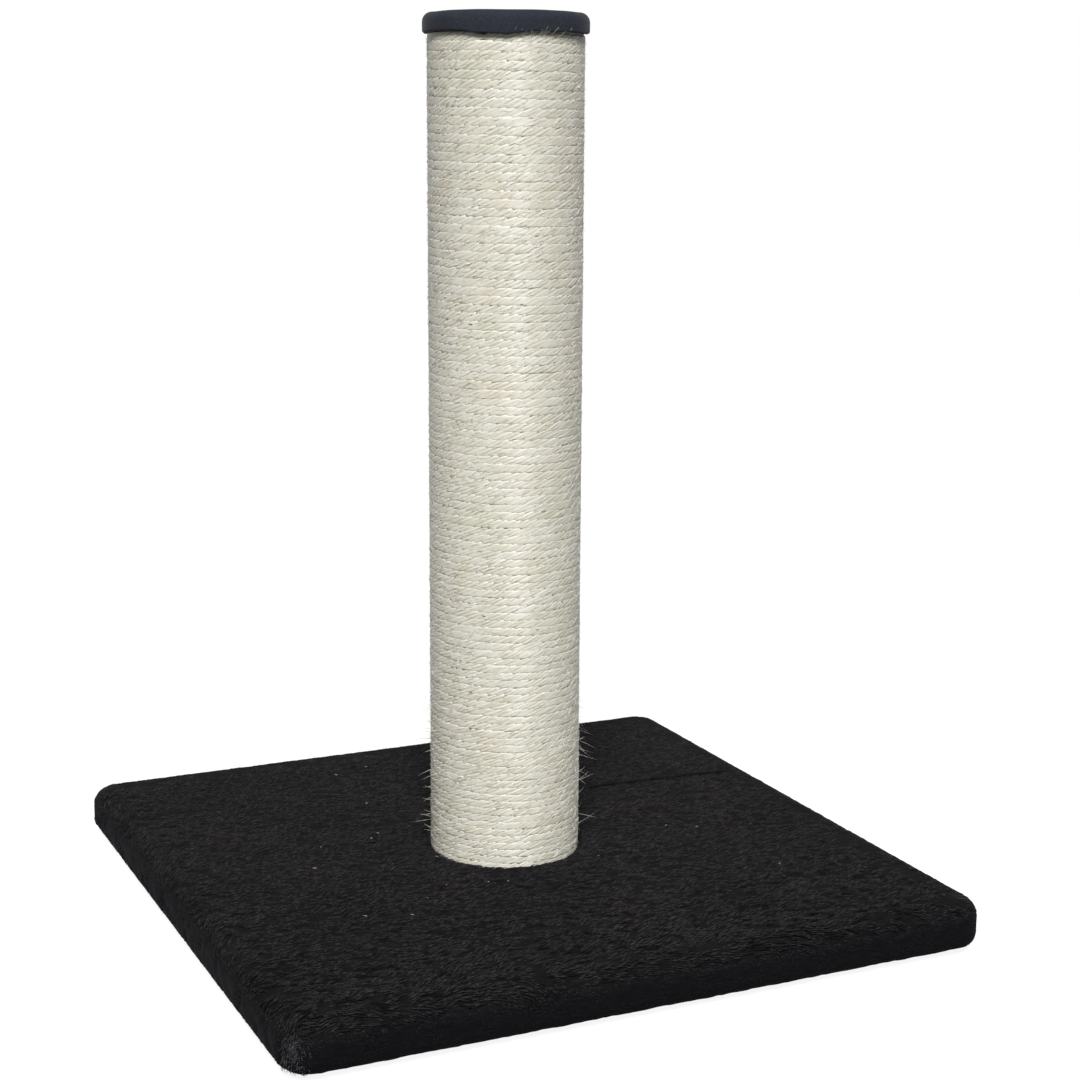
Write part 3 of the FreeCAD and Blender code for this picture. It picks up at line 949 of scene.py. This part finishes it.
def cap_shell(name, radius, low, high, shoulder, rim, tuck, thickness):
    """A round cap of cloth: a closed top, a round shoulder, a rim, and a tuck below."""
    bpy.ops.object.select_all(action="DESELECT")
    bpy.ops.mesh.primitive_cylinder_add(vertices=cap_sides, radius=radius, depth=high - low,
                                        location=(0, 0, (high + low) / 2),
                                        end_fill_type="NGON")
    cap = bpy.context.active_object
    cap.name = name
    bpy.ops.object.transform_apply(location=True)
    select_where(cap, "EDGE", lambda z: z > high - 0.1 * mm)
    bpy.ops.mesh.bevel(offset=shoulder, segments=9, affect="EDGES")
    select_where(cap, "EDGE", lambda z: z < low + 0.1 * mm)
    bpy.ops.mesh.bevel(offset=rim, segments=5, affect="EDGES")
    select_where(cap, "FACE", lambda z: z > high - same_plane)
    for _ in range(6):
        bpy.ops.mesh.inset(thickness=(radius - shoulder) / 7)
    bpy.ops.mesh.poke()
    select_where(cap, "FACE", lambda z: z < low + same_plane)
    for _ in range(3):
        bpy.ops.mesh.inset(thickness=tuck / 3)
    bpy.ops.mesh.delete(type="FACE")
    bpy.ops.object.mode_set(mode="OBJECT")
    thicken(cap, thickness)
    return cap


# %% The cap cloth
cap_low, cap_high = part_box("cap_cover")
cap_radius = cap_high.x
rim_height = cap_low.z + 1.0 * mm
wave_height = 8 * mm
dip_angle, dip_spread, dip_depth = -121, 21, 1.7
flare = 0.25


def wave_rim(cap):
    """Pulls the rim up and down and in and out, more the nearer a point is to the rim."""
    points = points_of(cap)
    angle = np.degrees(np.arctan2(points[:, 1], points[:, 0]))
    out = np.hypot(points[:, 0], points[:, 1])
    circle = compass(np.radians(angle))
    wave = 0.5 * noise(circle, 0.35, 8) + 0.3 * noise(circle, 0.10, 9)
    wave -= dip_depth * np.exp(-((angle - dip_angle) / dip_spread) ** 4)
    near_rim = np.clip((rim_height + wave_height - points[:, 2]) / wave_height, 0, 1)
    outside = np.clip((out - cap_radius + 5 * mm) / (3 * mm), 0, 1)
    points[:, 2] += wave * near_rim * outside * mm
    outwards = (0.35 * noise(points, 14 * mm, 10) + flare) * near_rim * outside * mm
    points[:, :2] *= (1 + outwards / np.maximum(out, mm))[:, None]
    points[:, 2] += 0.25 * mm * noise(points, 16 * mm, 12) * (points[:, 2] > cap_high.z - 9 * mm)
    set_points(cap, points)


cap_cover = cap_shell("cap_cloth", cap_radius, rim_height, cap_high.z, 5.5 * mm, 1.0 * mm,
                      21 * mm, 0.9 * mm)
wave_rim(cap_cover)
dress(cap_cover, cap_cloth, "post", "cap_cloth", "cap_cover")


# %% [markdown]
# ## Wadding and felt
# Nobody sees the wadding that rounds the base, or the felt in the cap, but both are soft, so they
# get their own meshes. The wadding is the plush's own fold again, one thickness of plush further
# in, and the felt is a smaller cap.

# %% Wadding material


def wadding_material():
    """Polyester wadding: white, matt and loose, with fibres that only show as a soft mottle."""
    material, tree, shader, where = new_material("white_polyester_wadding")
    mottle = lumps(tree, where, 2.5 * mm, 4.0, 0.7)
    tone = ramp(tree, mottle, [(0.3, "#D9D9D4"), (0.6, "#F0F0EC")])
    fit(shader, {"Base Color": tone, "Normal": bump(tree, mottle, 0.5, 0.6 * mm),
                 "Roughness": 0.95, "Specular IOR Level": 0.1})
    return material


wadding = wadding_material()

# %% Wadding on the board
wadding_cells = 160
cover_thickness = 4 * mm
wadding_thickness = 3.8 * mm
crushed_share = 0.25
wadding_half = core_half + flat_part + top_arc + side_height + 3 * mm


def base_wadding():
    """A folded sheet as thick as the wadding, and crushed under the post."""
    sheet = flat_grid("base_wadding", wadding_cells, 2 * wadding_half)
    flat = snap_to_rings(points_of(sheet)[:, :2], (seat_radius, bolt_hole), 1.3 * mm)
    place, normal, _ = surface(flat, np.zeros(len(flat)))
    seated = np.hypot(flat[:, 0], flat[:, 1]) <= seat_radius + 0.1 * mm
    depth = np.where(seated, cover_thickness / 2, cover_thickness) + 0.05 * mm
    normal[seated] = (0, 0, 1)
    set_points(sheet, place - normal * depth[:, None])
    thick = sheet.vertex_groups.new(name="thick")
    for i, crushed in enumerate(seated):
        thick.add([i], crushed_share if crushed else 1.0, "REPLACE")
    open_middle(sheet, flat, bolt_hole)
    thicken(sheet, wadding_thickness, share=thick.name)
    return sheet


base_wadding_piece = dress(base_wadding(), wadding, "base", "wadding", "base_padding")

# %% Felt in the cap
felt_low, felt_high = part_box("cap_padding")
felt = cap_shell("cap_felt", felt_high.x - 0.1 * mm, felt_low.z + 0.1 * mm,
                 felt_high.z - 0.1 * mm, 4.8 * mm, 0.3 * mm, 0.9 * mm, 1.7 * mm)
dress(felt, wadding, "post", "wadding", "cap_padding")

# %% [markdown]
# ## The liner
# A sheet of spun-bonded fabric closes the base from below. It is cut with round corners and a hole
# for the socket that turns the bolt, and it puckers a little between its staples. Its fibres are
# pressed together in rows of small dots.

# %% Liner material
dot_spacing = 2.4 * mm


def liner_material():
    """Black spun-bonded fabric, pressed in rows of dots."""
    material, tree, shader, where = new_material("black_spunbond_polypropylene")
    rows = add(tree, "Mapping", {"Vector": where, "Rotation": (0, 0, math.radians(45)),
                                 "Scale": (1 / dot_spacing, 1 / dot_spacing, 0)})
    dots = add(tree, "TexVoronoi", {"Vector": rows, "Scale": 1.0, "Randomness": 0.0})
    pressed = ramp(tree, dots, [(0.20, "#000000"), (0.34, "#FFFFFF")])
    tone = ramp(tree, lumps(tree, where, 0.9 * mm, 3.0), [(0.3, "#1E1F21"), (0.7, "#343538")])
    fit(shader, {"Base Color": mix(tree, 0.35, tone, pressed), "Roughness": 0.7,
                 "Normal": bump(tree, pressed, 0.5, 0.15 * mm)})
    return material


# %% The liner sheet
liner_low, liner_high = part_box("base_liner")
liner_half = liner_high.x
liner_corner = 8 * mm
liner_cells = 130
liner_thickness = 0.6 * mm
access_radius = 15 * mm
pucker = 0.12 * mm


def base_liner():
    """A puckered square with round corners and a round hole in its middle."""
    sheet = flat_grid("base_liner_cloth", liner_cells, 2 * liner_half)
    flat = snap_to_rings(points_of(sheet)[:, :2], (access_radius,), 1.6 * mm)
    core = liner_half - liner_corner
    beyond = np.maximum(np.abs(flat) - core, 0)
    turned = np.arctan2(beyond[:, 1], beyond[:, 0])
    rounded = compass(turned) * beyond.max(axis=1)[:, None]
    plan = np.sign(flat) * (np.minimum(np.abs(flat), core) + rounded)
    height = (liner_low.z + liner_high.z) / 2 + pucker * noise(plan, 24 * mm, 31)
    set_points(sheet, np.column_stack([plan, height]))
    open_middle(sheet, flat, access_radius)
    thicken(sheet, liner_thickness, offset=0)
    return sheet


liner = dress(base_liner(), liner_material(), "base", "non_woven", "base_liner")


# %% [markdown]
# ## Board, tube and fasteners
# These pieces have the right shape already, so they only get their materials: fibreboard, spiral
# wound cardboard, zinc plated steel, galvanised wire and moulded rubber.

# %% Materials for the construction


def speckled(name, size, tones, roughness, bump_strength, metallic=0.0):
    """A material whose tone and relief change in specks of one size."""
    material, tree, shader, where = new_material(name)
    speck = lumps(tree, where, size, 4.0, 0.65)
    fit(shader, {"Base Color": ramp(tree, speck, list(zip((0.32, 0.5, 0.68), tones))),
                 "Normal": bump(tree, speck, bump_strength, size / 10),
                 "Roughness": roughness, "Metallic": metallic})
    return material


# %% Cardboard
lap_width = 90 * mm
seam_width = 0.6 * mm


def cardboard_material():
    """Grey-brown board wound in a spiral, whose laps each end in a fine dark seam."""
    material, tree, shader, where = new_material("spiral_wound_cardboard")
    fibre = lumps(tree, where, (1.2 * mm, 1.2 * mm, 4 * mm), 4.0)
    tone = ramp(tree, fibre, [(0.3, "#8F745A"), (0.5, "#A4886B"), (0.7, "#B59A7D")])
    x, y, z = add(tree, "SeparateXYZ", {0: where}).node.outputs
    round_tube = add(tree, "Math", {"operation": "ARCTAN2", 0: y, 1: x})
    risen = add(tree, "Math", {"operation": "MULTIPLY_ADD", 0: round_tube,
                               1: lap_width / (2 * math.pi), 2: z})
    from_seam = add(tree, "Math", {"operation": "PINGPONG", 0: risen, 1: lap_width / 2})
    near_seam = add(tree, "MapRange", {"Value": from_seam, "From Max": seam_width})
    seam = ramp(tree, near_seam, [(0.0, "#6B5844"), (1.0, "#FFFFFF")])
    fit(shader, {"Base Color": mix(tree, 1.0, tone, seam), "Roughness": 0.85,
                 "Normal": bump(tree, fibre, 0.3, 0.1 * mm)})
    return material


# %% Which piece is of what
fibreboard = speckled("medium_density_fibreboard", 0.9 * mm, ("#A5835B", "#B8966C", "#C9AA82"),
                      0.8, 0.3)
zinc = speckled("zinc_plated_steel", 3 * mm, ("#B9BDC2", "#CACDD1", "#D6D8DB"), 0.33, 0.1, 1.0)
wire = speckled("galvanised_wire", 1.5 * mm, ("#A8ABAE", "#B9BCBF", "#C8CACC"), 0.42, 0.1, 1.0)
rubber = speckled("moulded_black_rubber", 0.6 * mm, ("#121213", "#18181A", "#1F1F21"), 0.75, 0.3)
cardboard = cardboard_material()
pad_names = ["foot_pad_%s_%s" % (end, side) for end in ("front", "back")
             for side in ("left", "right")]
finishes = [
    (fibreboard, ["base_board", "bottom_plug", "top_plug", "cap_disc"]),
    (cardboard, ["post_tube"]),
    (zinc, ["clamp_bolt", "bolt_washer", "tee_nut", "cap_screws"]),
    (wire, ["hem_staples", "liner_staples", "bottom_plug_staples", "top_plug_staples",
            "rope_end_staples", "cap_staples"]),
    (rubber, pad_names),
]

# %% Put them on
for finish, names in finishes:
    for name in names:
        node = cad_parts[name]
        for place in node.material_slots:
            place.material = finish
        if not node.material_slots:
            node.data.materials.append(finish)
        print(name, "in", finish.name)


# %% [markdown]
# ## Crumbs
# Bits of cut sisal lie on the plush round the post, and a few hairs stand at the rim of the cap.

# %% Crumbs and the hairs of the cap
crumb_places = np.array([(-29.6, 155.1), (-104.5, 24.6), (-65.7, 33.2), (-116.6, -84.6),
                         (-60.6, -59.0), (-48.6, -16.5), (35.9, -52.3), (7.1, 95.6),
                         (-28.2, -68.5)]) * mm
crumb_reach, crumb_clear = 150 * mm, 55 * mm
cap_hair_count = 17
crumb_random = np.random.default_rng(8)


def crumbs():
    """Crumbs where the photograph shows them, and a few more scattered round the post."""
    scattered = crumb_random.uniform(-1, 1, (12, 2)) * crumb_reach
    scattered = scattered[np.hypot(scattered[:, 0], scattered[:, 1]) > crumb_clear]
    flat = np.vstack([crumb_places, scattered])
    heading = crumb_random.uniform(0, 2 * math.pi, len(flat))
    place, normal, along = surface(flat, heading)
    return fibres("sisal_crumbs", place + normal * 0.3 * mm, along, normal,
                  crumb_random.uniform(1.2, 3.2, len(flat)) * mm, 0.28 * mm, 0.25, 0.3, 4)


def cap_hairs():
    """Rope fibres that stick up in front of the rim of the cap."""
    angle = np.radians(crumb_random.uniform(-112, -62, cap_hair_count))
    out = np.column_stack([compass(angle), angle * 0])
    roots = out * (rope_outside - 0.3 * mm)
    roots[:, 2] = rope_high.z - crumb_random.uniform(0.2, 3.0, cap_hair_count) * mm
    across = np.column_stack([compass(angle + math.pi / 2), angle * 0])
    sway = crumb_random.normal(0.5, 0.5, (cap_hair_count, 1))
    return fibres("sisal_hairs_at_cap", roots, unit(across * sway + (0, 0, 1) + out * 1.1), out,
                  crumb_random.uniform(4, 9, cap_hair_count) * mm, 0.2 * mm, 0.35, 0.45, 4)


dress(crumbs(), sisal_hair, "base", "sisal")
dress(cap_hairs(), sisal_hair, "post", "sisal")

# %% [markdown]
# ## Light and floor
# The key is one large soft light, high on the camera's side, because the photograph has a bright
# band down the front of the post and a lighter top than side on the base. The floor and the
# world are white to the camera, and the floor keeps the shadow.

# %% Key light
key_elevation = math.radians(44.0)
key_azimuth = camera_azimuth - math.radians(1.0)
key_strength = 4.35
key_softness = math.radians(20.0)
key = bpy.data.objects.new("key_light", bpy.data.lights.new("key_light", "SUN"))
bpy.context.scene.collection.objects.link(key)
key.data.energy = key_strength
key.data.angle = key_softness
key_from = direction(key_azimuth, key_elevation)
key.location = key_from * 2
key.rotation_mode = "QUATERNION"
key.rotation_quaternion = (-key_from).to_track_quat("-Z", "Y")

# %% World and floor
world_strength = 0.055
floor_glow = 0.90


def white_to_camera(tree):
    """1 for what the camera sees straight, in a mirror or through glass, and 0 for light."""
    seen, *others = [add(tree, "LightPath", {}, ray) for ray in
                     ("Is Camera Ray", "Is Glossy Ray", "Is Transmission Ray")]
    for other in others:
        seen = add(tree, "Math", {"operation": "MAXIMUM", 0: seen, 1: other})
    return seen


world = bpy.data.worlds.new("studio")
bpy.context.scene.world = world
world.use_nodes = True
world_tree = world.node_tree
strength = add(world_tree, "MapRange", {"Value": white_to_camera(world_tree),
                                        "To Min": world_strength, "To Max": 1.0})
fit(world_tree.nodes["Background"], {"Color": (1, 1, 1, 1), "Strength": strength})

floor_size = 6.0
bpy.ops.object.select_all(action="DESELECT")
bpy.ops.mesh.primitive_plane_add(size=floor_size)
floor = bpy.context.active_object
floor.name = "floor"
floor_material, floor_tree, floor_shader, _ = new_material("matt_white_paper")
glow = add(floor_tree, "Math", {"operation": "MULTIPLY", 0: white_to_camera(floor_tree),
                                1: floor_glow})
fit(floor_shader, {"Base Color": colour("#767676"), "Roughness": 1.0, "Specular IOR Level": 0.0,
                   "Emission Color": (1, 1, 1, 1), "Emission Strength": glow})
floor.data.materials.append(floor_material)
